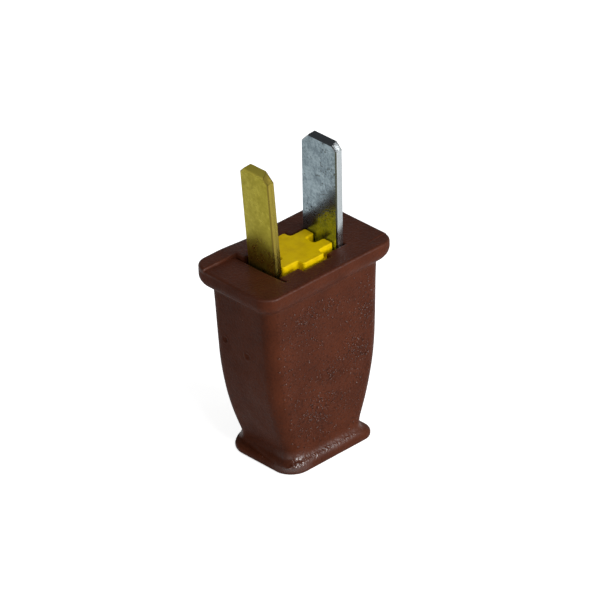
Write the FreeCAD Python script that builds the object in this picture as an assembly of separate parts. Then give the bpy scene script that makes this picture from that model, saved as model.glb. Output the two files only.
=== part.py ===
"""A two-blade polarised lamp plug: a moulded shell, a pull-out core and two piercing blades.

Millimetres. +Z is up, the plug stands on its cord end with the blades on top. The origin is the
middle of the foot. +X runs from the narrow blade to the wide blade, and -Y is the front.
"""
import FreeCAD, Part
import math
import os

Vector = FreeCAD.Vector

# Shell, outside
SHELL_HEIGHT = 35.4
FLANGE_LENGTH = 28.4
FLANGE_WIDTH = 17.4
FLANGE_DEPTH = 3.2
FLANGE_CORNER = 2.7
FLANGE_UNDER_ROUND = 1.9
FLANGE_EDGE_BREAK = 0.35
BODY_LENGTH = 24.8
BODY_WIDTH = 14.4
BODY_CORNER = 2.4
BODY_DRAFT = 0.05
BEND_HEIGHT = 19.9
NECK_END_INSET = 4.65
NECK_SIDE_INSET = 0.8
NECK_HEIGHT = 2.3
BEAD_END_LIP = 1.8
BEAD_SIDE_LIP = 1.2
BEAD_HEIGHT = 1.9
BEAD_CORNER = 3.2
BEAD_FOOT_BREAK = 0.5
BEAD_TOP_ROUND = 1.0
SKIRT_REACH = 0.6
SKIRT_END_REACH = 0.35
FLANGE_SKIRT_DROP = 0.8
BEAD_SKIRT_RISE = 2.4
SKIRT_SECTIONS = 4
SKIRT_SINK = 0.03
SKIRT_OVERLAP = 0.45

# Shell, mould marks on the face and the narrow end
TAB_WIDTH = 11.7
TAB_SINK = 0.65
TAB_END_SINK = 0.2
SLIT_WIDTH = 0.2
SLIT_DEPTH = 1.6
STEP_STRIP = 2.2
STEP_LENGTH = 4.8
STEP_SINK = 0.12
PIN_MARK_DIAMETER = 1.1
PIN_MARK_DEPTH = 0.25
PIN_MARK_SPACING = 5.0
PIN_MARK_HEIGHT = 22.2
PIN_MARK_TILT = 1.1
PIN_MARK_OFFSET = 1.4

# Shell, inside
POCKET_FLOOR = 12.0
CORD_HOLE_LENGTH = 8.0
CORD_HOLE_WIDTH = 5.4
CORD_HOLE_CORNER = 1.5
CORD_HOLE_FLARE = 0.9

# Blades
BLADE_SPACING = 12.7
BLADE_THICKNESS = 1.52
HOT_WIDTH = 6.35
NEUTRAL_WIDTH = 7.94
BLADE_REACH = 18.2
HOT_LEAN = 3.4
NEUTRAL_LEAN = 1.3
HOT_TIP_CUT = 1.65
HOT_TIP_CUT_RISE = 1.6
HOT_REAR_CUT = 1.35
HOT_TIP_SLOPE = 0.6
NEUTRAL_TIP_CUT = 1.25
NEUTRAL_TIP_CUT_RISE = 1.2
NEUTRAL_REAR_CUT = 1.9
NEUTRAL_TIP_SLOPE = 0.3
FOOT_LENGTH = 1.4
FOOT_WIDTH = 4.0
FOOT_HEIGHT = 2.0
FOOT_BEND_ROUND = 1.1
BLADE_EDGE_BREAK = 0.2
TOOTH_DROP = 12.0
TOOTH_ROOT = 2.4
TOOTH_THICKNESS = 1.2
TOOTH_TIP_OFFSET = 1.0

# Core
CORE_PROUD = 0.6
CORE_LEDGE_DEPTH = 1.3
BOSS_LENGTH = 4.5
BOSS_WIDTH = 9.3
LEDGE_END = 0.7
LEDGE_SIDE = 0.5
LEDGE_ARM = 0.8
BOSS_CORNER = 0.45
BOSS_EDGE_BREAK = 0.15
NOTCH_WIDTH = 2.1
NOTCH_DEPTH = 2.0
CORD_LENGTH = 5.3
CORD_WIDTH = 2.7
CORD_ROOM = 0.2
CORD_STOP_DEPTH = 6.0

# Clearances
CORE_CLEARANCE = 0.15
BLADE_CLEARANCE = 0.1
BLADE_SIDE_ROOM = 0.23
BOSS_BLADE_GAP = 0.12
TOOTH_ROOM = 0.35

# Sizes and places worked out from those above
NECK_LENGTH = BODY_LENGTH - 2 * NECK_END_INSET
NECK_WIDTH = BODY_WIDTH - 2 * NECK_SIDE_INSET
BEAD_LENGTH = NECK_LENGTH + 2 * BEAD_END_LIP
BEAD_WIDTH = NECK_WIDTH + 2 * BEAD_SIDE_LIP
BLADE_CENTRE = BLADE_SPACING / 2
BLADE_INNER = BLADE_CENTRE - BLADE_THICKNESS / 2
BLADE_OUTER = BLADE_CENTRE + BLADE_THICKNESS / 2
POCKET_ARM_HALF_X = BLADE_OUTER + CORE_CLEARANCE
POCKET_ARM_HALF_Y = max(HOT_WIDTH, NEUTRAL_WIDTH) / 2 + BLADE_SIDE_ROOM
CORE_FLOOR = POCKET_FLOOR + CORE_CLEARANCE
CORE_ARM_HALF_X = BLADE_INNER - BLADE_CLEARANCE
CORE_ARM_HALF_Y = POCKET_ARM_HALF_Y - CORE_CLEARANCE
CORE_MAIN_HALF_X = BOSS_LENGTH / 2 + LEDGE_END
CORE_MAIN_HALF_Y = BOSS_WIDTH / 2 + LEDGE_SIDE
BOSS_ARM_HALF_X = BLADE_INNER - BOSS_BLADE_GAP
BOSS_ARM_HALF_Y = CORE_ARM_HALF_Y - LEDGE_ARM
BODY_TOP = SHELL_HEIGHT - FLANGE_DEPTH
FOOT_BASE = CORE_FLOOR + FOOT_HEIGHT
TOOTH_CENTRE = SHELL_HEIGHT - TOOTH_DROP
NOTCH_FLOOR = BOSS_ARM_HALF_X - NOTCH_DEPTH
OVERCUT = 1.0
SAME_PLACE = 1e-6


def rounded_prism(length, width, corner, base, height):
    """An upright block with rounded corners, centred on the Z axis."""
    block = Part.makeBox(length, width, height, Vector(-length / 2, -width / 2, base))
    uprights = [edge for edge in block.Edges if is_upright(edge)]
    return block.makeFillet(corner, uprights)


def is_upright(edge):
    """True for a straight edge along Z."""
    run = edge.Vertexes[-1].Point - edge.Vertexes[0].Point
    return edge.Length > 0 and abs(abs(run.z) - edge.Length) < SAME_PLACE


def edges_at(shape, height):
    """The edges that lie wholly at one height."""
    box_edges = []
    for edge in shape.Edges:
        box = edge.BoundBox
        if abs(box.ZMin - height) < SAME_PLACE and abs(box.ZMax - height) < SAME_PLACE:
            box_edges.append(edge)
    return box_edges


def centred_box(x_low, x_high, width, z_low, z_high):
    """A box from one X to another, centred on Y."""
    low, high = min(x_low, x_high), max(x_low, x_high)
    return Part.makeBox(high - low, width, z_high - z_low, Vector(low, -width / 2, z_low))


def polygon_prism(points, direction):
    """The solid that a closed polygon sweeps along a direction."""
    face = Part.Face(Part.makePolygon(points + points[:1]))
    return face.extrude(direction)


def body_half(top_half, neck_half, draft, height):
    """The body's half size at a height: a drafted side that bends in along an arc to the neck."""
    bend_half = top_half - draft * (BODY_TOP - BEND_HEIGHT)
    if height >= BEND_HEIGHT:
        return bend_half + draft * (height - BEND_HEIGHT)
    slant = math.hypot(1.0, draft)
    inward = (-1.0 / slant, draft / slant)
    across = neck_half - bend_half
    down = NECK_HEIGHT - BEND_HEIGHT
    radius = (across ** 2 + down ** 2) / (2 * (across * inward[0] + down * inward[1]))
    centre_half = bend_half + radius * inward[0]
    centre_height = BEND_HEIGHT + radius * inward[1]
    return centre_half + math.sqrt(radius ** 2 - (height - centre_height) ** 2)


def rounded_section(half_length, half_width, corner, height):
    """A closed outline with rounded corners at one height."""
    edges = []
    mid = corner * math.sqrt(0.5)
    turns = [(1, 1), (-1, 1), (-1, -1), (1, -1)]
    for index, (sx, sy) in enumerate(turns):
        cx, cy = sx * (half_length - corner), sy * (half_width - corner)
        on_end = Vector(sx * half_length, cy, height)
        on_side = Vector(cx, sy * half_width, height)
        first, last = (on_end, on_side) if sx * sy > 0 else (on_side, on_end)
        edges.append(Part.Arc(first, Vector(cx + sx * mid, cy + sy * mid, height), last).toShape())
        next_sx, next_sy = turns[(index + 1) % len(turns)]
        if sy == next_sy:
            following = Vector(next_sx * (half_length - corner), sy * half_width, height)
        else:
            following = Vector(sx * half_length, next_sy * (half_width - corner), height)
        edges.append(Part.makeLine(last, following))
    return Part.Wire(edges)


def body_section(height, out_length, out_width):
    """The body's outline at a height, moved out from its ends and its sides."""
    share = NECK_SIDE_INSET / NECK_END_INSET
    half_length = body_half(BODY_LENGTH / 2, NECK_LENGTH / 2, BODY_DRAFT, height)
    half_width = body_half(BODY_WIDTH / 2, NECK_WIDTH / 2, BODY_DRAFT * share, height)
    return rounded_section(half_length + out_length, half_width + out_width, BODY_CORNER, height)


def side_profile(top_half, neck_half, draft, across, along):
    """The body's outline from one side, with drafted walls that bend in to the neck, swept through it."""
    low, high = BEAD_HEIGHT / 2, SHELL_HEIGHT - FLANGE_DEPTH / 2
    heights = (low, (low + BEND_HEIGHT) / 2, BEND_HEIGHT, high)
    right = [across * body_half(top_half, neck_half, draft, z) + Vector(0, 0, z) for z in heights]
    left = [Vector(-point.x, -point.y, point.z) for point in right]
    edges = [
        Part.Arc(right[0], right[1], right[2]).toShape(),
        Part.makeLine(right[2], right[3]),
        Part.makeLine(right[3], left[3]),
        Part.makeLine(left[3], left[2]),
        Part.Arc(left[2], left[1], left[0]).toShape(),
        Part.makeLine(left[0], right[0]),
    ]
    face = Part.Face(Part.Wire(edges))
    face.translate(along * -BODY_LENGTH)
    return face.extrude(along * 2 * BODY_LENGTH)


def shell_body():
    """The tapered grip between flange and bead: two crossed profiles with rounded upright corners."""
    share = NECK_SIDE_INSET / NECK_END_INSET
    ends = side_profile(BODY_LENGTH / 2, NECK_LENGTH / 2, BODY_DRAFT, Vector(1, 0, 0), Vector(0, 1, 0))
    sides = side_profile(BODY_WIDTH / 2, NECK_WIDTH / 2, BODY_DRAFT * share, Vector(0, 1, 0), Vector(1, 0, 0))
    body = ends.common(sides)
    corners = [edge for edge in body.Edges if edge.BoundBox.ZLength > SAME_PLACE]
    return body.makeFillet(BODY_CORNER, corners)


def skirt(root, tip, end_reach):
    """A hollow curve that leads the body's walls out, from its root on the wall to its tip."""
    sections = []
    for step in range(SKIRT_SECTIONS):
        turn = math.pi / 2 * step / (SKIRT_SECTIONS - 1)
        height = root + (tip - root) * math.sin(turn)
        out = 1 - math.cos(turn)
        sections.append(body_section(height, end_reach * out - SKIRT_SINK, SKIRT_REACH * out - SKIRT_SINK))
    return Part.makeLoft(sections, True, True)


def shell_outside():
    """Flange, body and bead as one moulded form."""
    flange = rounded_prism(FLANGE_LENGTH, FLANGE_WIDTH, FLANGE_CORNER, BODY_TOP, FLANGE_DEPTH)
    flange = flange.makeFillet(FLANGE_UNDER_ROUND, edges_at(flange, BODY_TOP))
    flange = flange.makeChamfer(FLANGE_EDGE_BREAK, edges_at(flange, SHELL_HEIGHT))
    bead = rounded_prism(BEAD_LENGTH, BEAD_WIDTH, BEAD_CORNER, 0, BEAD_HEIGHT)
    bead = bead.makeChamfer(BEAD_FOOT_BREAK, edges_at(bead, 0))
    bead = bead.makeFillet(BEAD_TOP_ROUND, edges_at(bead, BEAD_HEIGHT))
    under_flange = skirt(BODY_TOP - FLANGE_SKIRT_DROP, BODY_TOP + SKIRT_OVERLAP, SKIRT_REACH)
    over_bead = skirt(BEAD_HEIGHT + BEAD_SKIRT_RISE, BEAD_HEIGHT - SKIRT_OVERLAP, SKIRT_END_REACH)
    return flange.fuse([shell_body(), under_flange, over_bead, bead]).removeSplitter()


def cross_outline(main_half_x, main_half_y, arm_half_x, arm_half_y, height):
    """Corners of a plus-shaped outline, anticlockwise from the right arm's rear corner."""
    quarter = [(arm_half_x, arm_half_y), (main_half_x, arm_half_y), (main_half_x, main_half_y)]
    mirrored = [(-x, y) for x, y in reversed(quarter)]
    upper = quarter + mirrored
    lower = [(-x, -y) for x, y in upper]
    return [Vector(x, y, height) for x, y in upper + lower]


def core_pocket():
    """The room in the shell for the core and the blades' shanks, open at the face."""
    outline = cross_outline(
        CORE_MAIN_HALF_X + CORE_CLEARANCE,
        CORE_MAIN_HALF_Y + CORE_CLEARANCE,
        POCKET_ARM_HALF_X,
        POCKET_ARM_HALF_Y,
        POCKET_FLOOR,
    )
    return polygon_prism(outline, Vector(0, 0, SHELL_HEIGHT - POCKET_FLOOR + OVERCUT))


def cord_hole():
    """The cord's way in through the foot, flared at its mouth."""
    hole = rounded_prism(
        CORD_HOLE_LENGTH, CORD_HOLE_WIDTH, CORD_HOLE_CORNER, -OVERCUT, POCKET_FLOOR + 2 * OVERCUT
    )
    spread = CORD_HOLE_FLARE + OVERCUT
    wide = rounded_section(
        CORD_HOLE_LENGTH / 2 + spread, CORD_HOLE_WIDTH / 2 + spread, CORD_HOLE_CORNER + spread, -OVERCUT
    )
    narrow = rounded_section(CORD_HOLE_LENGTH / 2, CORD_HOLE_WIDTH / 2, CORD_HOLE_CORNER, CORD_HOLE_FLARE)
    mouth = Part.makeLoft([wide, narrow], True, True)
    return hole.fuse(mouth)


def sunk_tab():
    """The twisted wedge taken off the face at the narrow blade's end, and the slit along its inner edge."""
    slit_outer = -(POCKET_ARM_HALF_X + SLIT_WIDTH)
    end = -(FLANGE_LENGTH / 2 + OVERCUT)
    far, near = TAB_WIDTH / 2, -TAB_WIDTH / 2
    above = SHELL_HEIGHT + OVERCUT
    sections = []
    for place, sink in ((end, TAB_END_SINK), (slit_outer, TAB_SINK)):
        corners = [
            Vector(place, near, SHELL_HEIGHT),
            Vector(place, far, SHELL_HEIGHT - sink),
            Vector(place, far, above),
            Vector(place, near, above),
        ]
        sections.append(Part.makePolygon(corners + corners[:1]))
    wedge = Part.makeLoft(sections, True, True)
    slit = centred_box(slit_outer, -BLADE_OUTER, TAB_WIDTH, SHELL_HEIGHT - SLIT_DEPTH, above)
    return wedge.fuse(slit)


def mould_step():
    """The shallow wedge along the front edge at the wide blade's end."""
    end = FLANGE_LENGTH / 2
    start = end - STEP_LENGTH
    front = -(FLANGE_WIDTH / 2 + OVERCUT)
    slope = STEP_SINK / STEP_LENGTH
    section = [
        Vector(start, front, SHELL_HEIGHT),
        Vector(end + OVERCUT, front, SHELL_HEIGHT - STEP_SINK - slope * OVERCUT),
        Vector(end + OVERCUT, front, SHELL_HEIGHT + OVERCUT),
        Vector(start, front, SHELL_HEIGHT + OVERCUT),
    ]
    return polygon_prism(section, Vector(0, STEP_STRIP + OVERCUT, 0))


def pin_marks():
    """The two small round ejector marks on the narrow end."""
    marks = []
    for side in (1, -1):
        height = PIN_MARK_HEIGHT + side * PIN_MARK_TILT / 2
        wall = -(BODY_LENGTH / 2 - BODY_DRAFT * (BODY_TOP - height))
        start = Vector(wall - OVERCUT, PIN_MARK_OFFSET + side * PIN_MARK_SPACING / 2, height)
        depth = OVERCUT + PIN_MARK_DEPTH
        marks.append(Part.makeCylinder(PIN_MARK_DIAMETER / 2, depth, start, Vector(1, 0, 0)))
    return marks


def make_shell():
    """The moulded shell with its pocket, cord hole and mould marks."""
    cuts = [core_pocket(), cord_hole(), sunk_tab(), mould_step()] + pin_marks()
    return shell_outside().cut(cuts)


def blade_strip(side, width, lean, tip_slope):
    """The bent strip: an inward foot, an upright shank, and a leaning blade with a tip that slopes to -X."""
    turn = math.radians(lean)
    along = (math.sin(turn), math.cos(turn))
    out = (math.cos(turn), -math.sin(turn))
    spread = BLADE_THICKNESS / 2 / (1 + out[0])
    bend_out = (spread * (1 + out[0]), spread * out[1])
    tip = (BLADE_CENTRE + BLADE_REACH * along[0], SHELL_HEIGHT + BLADE_REACH * along[1])
    half = BLADE_THICKNESS / 2
    outer_drop, inner_drop = (tip_slope, 0) if side < 0 else (0, tip_slope)
    outline = [
        (BLADE_INNER - FOOT_LENGTH, FOOT_BASE),
        (BLADE_OUTER, FOOT_BASE),
        (BLADE_CENTRE + bend_out[0], SHELL_HEIGHT + bend_out[1]),
        (tip[0] + half * out[0] - outer_drop * along[0], tip[1] + half * out[1] - outer_drop * along[1]),
        (tip[0] - half * out[0] - inner_drop * along[0], tip[1] - half * out[1] - inner_drop * along[1]),
        (BLADE_CENTRE - bend_out[0], SHELL_HEIGHT - bend_out[1]),
        (BLADE_INNER, FOOT_BASE + BLADE_THICKNESS),
        (BLADE_INNER - FOOT_LENGTH, FOOT_BASE + BLADE_THICKNESS),
    ]
    points = [Vector(side * x, -width / 2, z) for x, z in outline]
    strip = polygon_prism(points, Vector(0, width, 0))
    heel = [edge for edge in strip.Edges if is_heel(edge, side)]
    return strip.makeFillet(FOOT_BEND_ROUND, heel)


def is_heel(edge, side):
    """True for the outer edge where the foot turns out of the shank."""
    ends = [vertex.Point for vertex in edge.Vertexes]
    return all(abs(p.x - side * BLADE_OUTER) < SAME_PLACE and abs(p.z - FOOT_BASE) < SAME_PLACE for p in ends)


def blade_front(width, cut, cut_rise, rear_cut):
    """The blade's broad outline: full width, with its front and rear tip corners cut away."""
    half = width / 2
    top = SHELL_HEIGHT + BLADE_REACH
    beyond = (cut_rise + OVERCUT) / cut_rise
    reach = BLADE_OUTER + BLADE_REACH
    foot_half = FOOT_WIDTH / 2
    shoulder = FOOT_BASE + BLADE_THICKNESS
    front = [
        (-(half - cut * beyond), top + OVERCUT),
        (-half, top - cut_rise),
        (-half, shoulder + half - foot_half),
        (-foot_half, shoulder),
        (-foot_half, FOOT_BASE - OVERCUT),
    ]
    rear = [
        (foot_half, FOOT_BASE - OVERCUT),
        (foot_half, shoulder),
        (half, shoulder + half - foot_half),
        (half, top - rear_cut),
        (half - rear_cut - OVERCUT, top + OVERCUT),
    ]
    points = [Vector(-reach, y, z) for y, z in front + rear]
    return polygon_prism(points, Vector(2 * reach, 0, 0))


def piercing_tooth(side):
    """The point that bites through the cord's insulation."""
    root = BLADE_INNER + BLADE_THICKNESS / 2
    points = [
        Vector(side * root, -TOOTH_THICKNESS / 2, TOOTH_CENTRE - TOOTH_ROOT / 2),
        Vector(side * root, -TOOTH_THICKNESS / 2, TOOTH_CENTRE + TOOTH_ROOT / 2),
        Vector(side * BLADE_INNER, -TOOTH_THICKNESS / 2, TOOTH_CENTRE + TOOTH_ROOT / 2),
        Vector(side * TOOTH_TIP_OFFSET, -TOOTH_THICKNESS / 2, TOOTH_CENTRE),
        Vector(side * BLADE_INNER, -TOOTH_THICKNESS / 2, TOOTH_CENTRE - TOOTH_ROOT / 2),
    ]
    return polygon_prism(points, Vector(0, TOOTH_THICKNESS, 0))


def make_blade(side, width, lean, cut, cut_rise, rear_cut, tip_slope):
    """One contact blade with its shank, foot and tooth."""
    front = blade_front(width, cut, cut_rise, rear_cut)
    strip = blade_strip(side, width, lean, tip_slope).common(front)
    strip = strip.makeChamfer(BLADE_EDGE_BREAK, [edge for edge in strip.Edges if is_rim(edge)])
    return strip.fuse(piercing_tooth(side)).removeSplitter()


def is_rim(edge):
    """True for an edge along the outline of the blade above the face."""
    run = edge.Vertexes[-1].Point - edge.Vertexes[0].Point
    return edge.CenterOfMass.z > SHELL_HEIGHT + BLADE_THICKNESS and abs(run.x) < edge.Length / 2


def core_boss():
    """The core's raised face between the blades, with soft edges and a notch in each arm."""
    base = SHELL_HEIGHT - CORE_LEDGE_DEPTH - OVERCUT
    top = SHELL_HEIGHT + CORE_PROUD
    outline = cross_outline(BOSS_LENGTH / 2, BOSS_WIDTH / 2, BOSS_ARM_HALF_X, BOSS_ARM_HALF_Y, base)
    boss = polygon_prism(outline, Vector(0, 0, top - base))
    boss = boss.cut(notches())
    boss = boss.makeFillet(BOSS_CORNER, [edge for edge in boss.Edges if is_upright(edge)])
    return boss.makeChamfer(BOSS_EDGE_BREAK, edges_at(boss, top))


def notches():
    """The grooves down the core's two arms that the teeth pass along."""
    reach = BLADE_OUTER
    top = SHELL_HEIGHT + CORE_PROUD + OVERCUT
    low = CORE_FLOOR - OVERCUT
    return [centred_box(side * NOTCH_FLOOR, side * reach, NOTCH_WIDTH, low, top) for side in (1, -1)]


def make_core():
    """The core: a plus-shaped carrier with a blind cord slot, tooth windows and foot seats."""
    outline = cross_outline(
        CORE_MAIN_HALF_X, CORE_MAIN_HALF_Y, CORE_ARM_HALF_X, CORE_ARM_HALF_Y, CORE_FLOOR
    )
    carrier = polygon_prism(outline, Vector(0, 0, SHELL_HEIGHT - CORE_LEDGE_DEPTH - CORE_FLOOR))
    cord_half = CORD_LENGTH / 2 + CORD_ROOM
    cord_top = SHELL_HEIGHT - CORD_STOP_DEPTH
    cord_slot = centred_box(
        -cord_half, cord_half, CORD_WIDTH + 2 * CORD_ROOM, CORE_FLOOR - OVERCUT, cord_top
    )
    window_low = TOOTH_CENTRE - TOOTH_ROOT / 2 - TOOTH_ROOM
    window_high = TOOTH_CENTRE + TOOTH_ROOT / 2 + TOOTH_ROOM
    windows = centred_box(
        -BLADE_INNER, BLADE_INNER, TOOTH_THICKNESS + 2 * TOOTH_ROOM, window_low, window_high
    )
    seats = []
    for side in (1, -1):
        seat_inner = BLADE_INNER - FOOT_LENGTH - BLADE_CLEARANCE
        seat_low = FOOT_BASE - BLADE_CLEARANCE
        seat_high = FOOT_BASE + BLADE_THICKNESS + BLADE_CLEARANCE
        seat_width = FOOT_WIDTH + 2 * BLADE_SIDE_ROOM
        seats.append(centred_box(side * seat_inner, side * BLADE_OUTER, seat_width, seat_low, seat_high))
    carrier = carrier.cut(notches() + [cord_slot, windows] + seats)
    return carrier.fuse(core_boss()).removeSplitter()


def save(name, shape):
    """Writes one piece and says what it holds."""
    shape.exportStep(os.path.join("parts", name + ".step"))
    print(name, "solids", len(shape.Solids), "valid", shape.isValid(), "volume", round(shape.Volume, 2))


def main():
    """Builds the four pieces."""
    os.makedirs("parts", exist_ok=True)
    save("shell", make_shell())
    save("core", make_core())
    hot_tip = (HOT_TIP_CUT, HOT_TIP_CUT_RISE, HOT_REAR_CUT, HOT_TIP_SLOPE)
    neutral_tip = (NEUTRAL_TIP_CUT, NEUTRAL_TIP_CUT_RISE, NEUTRAL_REAR_CUT, NEUTRAL_TIP_SLOPE)
    save("hot_blade", make_blade(-1, HOT_WIDTH, HOT_LEAN, *hot_tip))
    save("neutral_blade", make_blade(1, NEUTRAL_WIDTH, NEUTRAL_LEAN, *neutral_tip))


main()
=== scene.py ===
"""The finished look of a two-blade lamp plug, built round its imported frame.

Sizes in the classes are millimetres, and become metres where a mesh or a pattern is made.
"""

import logging
import math
from dataclasses import dataclass, replace
from enum import Enum

import bmesh
import bpy
import numpy as np
from mathutils import Matrix, Vector


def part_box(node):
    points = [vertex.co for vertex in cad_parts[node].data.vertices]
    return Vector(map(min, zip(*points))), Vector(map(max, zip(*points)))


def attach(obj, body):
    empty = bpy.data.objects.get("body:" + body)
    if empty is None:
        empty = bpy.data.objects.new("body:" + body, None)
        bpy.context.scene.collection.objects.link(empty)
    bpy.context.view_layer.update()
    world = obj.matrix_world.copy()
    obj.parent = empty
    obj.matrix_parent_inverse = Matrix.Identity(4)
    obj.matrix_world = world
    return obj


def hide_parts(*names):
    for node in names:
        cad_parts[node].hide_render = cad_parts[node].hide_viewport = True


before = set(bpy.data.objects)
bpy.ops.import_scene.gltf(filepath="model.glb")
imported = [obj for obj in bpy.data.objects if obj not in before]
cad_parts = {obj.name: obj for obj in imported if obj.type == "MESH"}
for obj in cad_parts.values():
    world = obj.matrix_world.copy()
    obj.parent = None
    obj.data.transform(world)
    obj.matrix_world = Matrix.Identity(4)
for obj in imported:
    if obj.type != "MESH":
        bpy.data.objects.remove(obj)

MM = 0.001
LOG = logging.getLogger("lamp_plug")

Pair = tuple[float, float]
Point = tuple[float, float, float]
Colour = tuple[float, float, float, float]
Key = tuple[int, int]
Socket = bpy.types.NodeSocket
Vertex = bmesh.types.BMVert
Edge = bmesh.types.BMEdge

WHITE: Colour = (1.0, 1.0, 1.0, 1.0)
RISING: Pair = (0.0, 1.0)
FALLING: Pair = (1.0, 0.0)
# The range that most of a soft noise lies in
MIDDLE: Pair = (0.3, 0.7)
NOISE_MIDDLE = 0.5
# How many finer layers a noise has
PLAIN = 1.0
SOFT = 2.0
FINE = 3.0


class Body(Enum):
    """The bodies that pieces ride on."""

    SHELL = "shell"
    CORE = "core"


class Slot(Enum):
    """The record's material slots."""

    VINYL = "shell_vinyl"
    PLASTIC = "core_plastic"
    BRASS = "brass"
    NICKEL = "nickel"


class BladePart(Enum):
    """The parts of a blade's surface, by the names of the shares that mark them."""

    BROAD = "broad"
    # The narrow sides, chamfers and tip slopes carry painted light and shade in their tones.
    EDGE = "edge"
    PAINTED_CHAMFER = "painted_chamfer"
    CUT = "painted_tip"


def tone(*levels: float) -> Colour:
    """Turns a display colour into the linear colour that shaders take.

    Args:
        *levels: Red, green and blue from 0 to 255, as a screen shows them.

    Returns:
        The linear red, green, blue and full alpha.
    """
    shares = [level / 255 for level in levels]
    linear = [s / 12.92 if s <= 0.04045 else ((s + 0.055) / 1.055) ** 2.4 for s in shares]
    return (*linear, 1.0)


def quarter(radius: float, count: int) -> list[Pair]:
    """Steps round a quarter turn: how far each is from the turn's end, and from its start."""
    turns = np.linspace(0.0, math.pi / 2, count + 1)[1:]
    return [(radius * (1 - math.sin(turn)), radius * (1 - math.cos(turn))) for turn in turns]


def spread(stops: list[float], gap: float) -> np.ndarray:
    """Lines through every stop, with even fill between stops.

    Args:
        stops: Places that have to have a line.
        gap: The widest gap left between two lines.

    Returns:
        The lines in rising order.
    """
    slack = 1e-9
    ordered = sorted({round(stop, 6) for stop in stops})
    lines = []
    for low, high in zip(ordered, ordered[1:]):
        count = max(1, math.ceil((high - low) / gap - slack))
        lines.extend(low + (high - low) * step / count for step in range(count))
    lines.append(ordered[-1])
    return np.array(lines)


@dataclass(frozen=True)
class Step:
    """A smooth step from 0 at one value to 1 at another."""

    low: float
    high: float

    def at(self, value: np.ndarray) -> np.ndarray:
        """A share from 0 to 1 for each value."""
        share = np.clip((value - self.low) / (self.high - self.low), 0.0, 1.0)
        return share * share * (3 - 2 * share)


class Graph:
    """A node tree, with short ways to add and join nodes."""

    def __init__(self, tree: bpy.types.NodeTree) -> None:
        """Starts on a tree that is there already."""
        self.tree = tree

    def feed(self, target: Socket, source: object) -> None:
        """Joins a socket to another, or sets its plain value.

        Args:
            target: The socket that is fed.
            source: A socket or a value.
        """
        if isinstance(source, Socket):
            self.tree.links.new(source, target)
        else:
            target.default_value = source

    def add(self, kind: str, sockets: dict[object, object], give: object = 0, **settings: object) -> Socket:
        """Adds a node and feeds its sockets.

        Args:
            kind: The node's type.
            sockets: What goes into each socket, by name or place.
            give: The output to give back, by name or place.
            **settings: Properties to set first.

        Returns:
            The output.
        """
        node = self.tree.nodes.new(kind)
        for key, value in settings.items():
            setattr(node, key, value)
        for key, value in sockets.items():
            self.feed(node.inputs[key], value)
        return node.outputs[give]

    def maths(self, operation: str, first: object, second: object) -> Socket:
        """One sum on two sockets or numbers."""
        return self.add("ShaderNodeMath", {0: first, 1: second}, operation=operation)

    def times(self, first: object, second: object) -> Socket:
        """The product of two sockets or numbers."""
        return self.maths("MULTIPLY", first, second)

    def remap(self, value: Socket, start: Pair, end: Pair = RISING, **settings: object) -> Socket:
        """Carries one range over to another and holds the value there."""
        ranges = zip(("From Min", "From Max", "To Min", "To Max"), start + end)
        return self.add("ShaderNodeMapRange", {"Value": value, **dict(ranges)}, **settings)


class Sheet(Graph):
    """One material's node sheet, on the object's own coordinates."""

    def __init__(self, name: str) -> None:
        """Starts a sheet for a new material.

        Args:
            name: What the material is called.
        """
        self.material = bpy.data.materials.new(name)
        self.material.use_nodes = True
        super().__init__(self.material.node_tree)
        self.place = self.add("ShaderNodeTexCoord", {}, "Object")

    def noise(self, size: float, detail: float, place: Socket | None = None) -> Socket:
        """Noise around one half, in clouds of a size, with some finer layers."""
        sockets = {"Vector": place or self.place, "Scale": 1 / (size * MM), "Detail": detail}
        return self.add("ShaderNodeTexNoise", sockets)

    def spots(self, size: float, reach: float) -> Socket:
        """Scattered spots that fade out, by their spacing and their reach as a share of it."""
        sockets = {"Vector": self.place, "Scale": 1 / (size * MM)}
        return self.remap(self.add("ShaderNodeTexVoronoi", sockets, "Distance"), (0.0, reach), FALLING)

    def blend(self, share: Socket, first: object, second: object) -> Socket:
        """A colour between two, by the share of the second one."""
        return self.add("ShaderNodeMix", {"Factor": share, 6: first, 7: second}, 2, data_type="RGBA")

    def painted(self, name: str) -> Socket:
        """A share that the mesh itself carries."""
        return self.add("ShaderNodeAttribute", {}, "Fac", attribute_name=name)

    def relief(self, height: Socket, depth: float, under: Socket | None = None) -> Socket:
        """The direction of a surface with small relief, which may lie on other relief."""
        lower = {} if under is None else {"Normal": under}
        return self.add("ShaderNodeBump", {"Height": height, "Distance": depth * MM, **lower})

    def dress(self, sockets: dict[str, object]) -> bpy.types.Material:
        """Feeds the shader.

        Args:
            sockets: What goes into each of the shader's sockets.

        Returns:
            The finished material.
        """
        shader = self.tree.nodes["Principled BSDF"]
        for name, value in sockets.items():
            self.feed(shader.inputs[name], value)
        return self.material


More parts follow.
